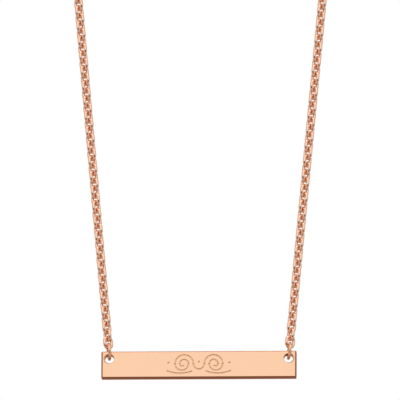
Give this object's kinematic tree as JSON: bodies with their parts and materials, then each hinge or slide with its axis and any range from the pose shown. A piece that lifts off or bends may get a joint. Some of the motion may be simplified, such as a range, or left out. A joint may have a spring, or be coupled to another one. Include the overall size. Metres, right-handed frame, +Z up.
{
  "type": "bar necklace",
  "caption": "Flat engraved bar pendant hung by a jump ring at each end from a closed cable chain with a spring ring clasp, held up as it hangs.",
  "frame": {"origin": "inner side of the chain loop at its top middle, where the necklace hangs", "axes": "+Z up along the hanging loop, +X to the right along the bar, front face of the bar towards -Y"},
  "size_m": [0.0604, 0.0057, 0.2015],
  "materials": {
    "bar_gold": "polished rose gold plate, softened edges, engraved line",
    "chain_gold": "polished rose gold plate",
    "ring_gold": "polished rose gold plate",
    "clasp_gold": "polished rose gold plate"
  },
  "bodies": {
    "loop": {"jump_ring_left": "ring_gold", "jump_ring_right": "ring_gold", "chain_left_front": "chain_gold", "chain_right_front": "chain_gold", "chain_left_back": "chain_gold", "chain_right_back": "chain_gold", "end_ring_left": "ring_gold", "end_ring_right": "ring_gold", "clasp": "clasp_gold"},
    "pendant": {"bar": "bar_gold"}
  },
  "joints": [
    {"name": "bar_swing", "type": "hinge", "parent": "loop", "child": "pendant", "pos_m": [0, 0, -0.19467], "axis": [1, 0, 0], "range_deg": [-45, 45]}
  ]
}
